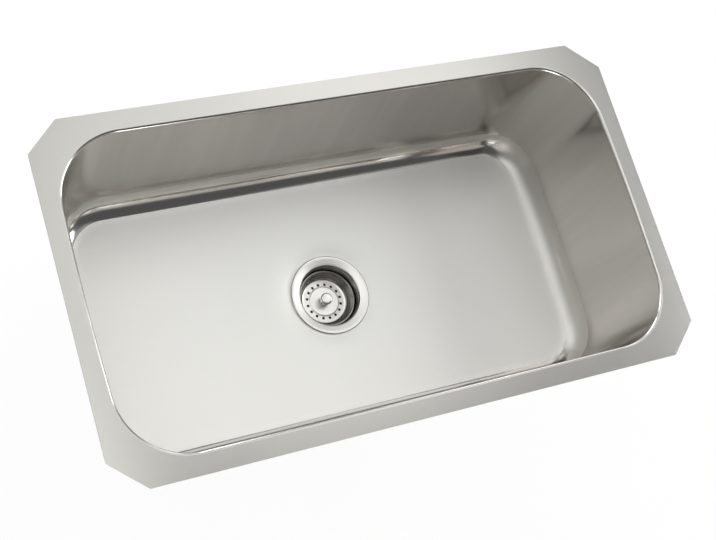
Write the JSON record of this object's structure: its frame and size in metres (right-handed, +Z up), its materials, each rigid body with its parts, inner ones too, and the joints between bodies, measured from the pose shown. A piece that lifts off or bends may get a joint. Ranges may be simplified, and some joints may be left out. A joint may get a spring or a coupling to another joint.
{
  "type": "undermount kitchen sink",
  "caption": "Undermount kitchen sink: a deep pressed steel bowl with rounded corners under a flat flange with cut corners, and a drain with a lift-out basket strainer.",
  "frame": {"origin": "middle of the flange's top face, on the drain's axis, at the height where the worktop lies", "axes": "+X along the long side to the right, +Y to the back, +Z up out of the bowl, square to the flange"},
  "size_m": [0.8002, 0.4572, 0.3936],
  "materials": {
    "sink_steel": "satin",
    "strainer_steel": "polished",
    "basket_steel": "polished",
    "tube_chrome": "polished",
    "nut_brass": "raw",
    "pad_rubber": "matte",
    "seal_rubber": "matte",
    "putty": "matte",
    "fibre": "matte",
    "sleeve_plastic": "satin"
  },
  "bodies": {
    "sink": {"sink_bowl": "sink_steel", "sound_pad_floor_left": "pad_rubber", "sound_pad_floor_right": "pad_rubber", "sound_pad_front": "pad_rubber", "sound_pad_back": "pad_rubber", "sound_pad_left": "pad_rubber", "sound_pad_right": "pad_rubber", "strainer_body": "strainer_steel", "putty_ring": "putty", "rubber_washer": "seal_rubber", "friction_ring": "fibre", "locknut": "nut_brass", "outlet_crossbar": "strainer_steel", "outlet_washer": "seal_rubber", "tailpiece": "tube_chrome", "coupling_nut": "tube_chrome"},
    "basket": {"basket_bowl": "basket_steel", "basket_knob": "basket_steel", "basket_post": "basket_steel", "stopper": "seal_rubber", "detent_sleeve": "sleeve_plastic"}
  },
  "joints": [
    {"name": "basket_lift", "type": "slide", "parent": "sink", "child": "basket", "axis": [0, 0, 1], "range_m": [0, 0.075]}
  ]
}
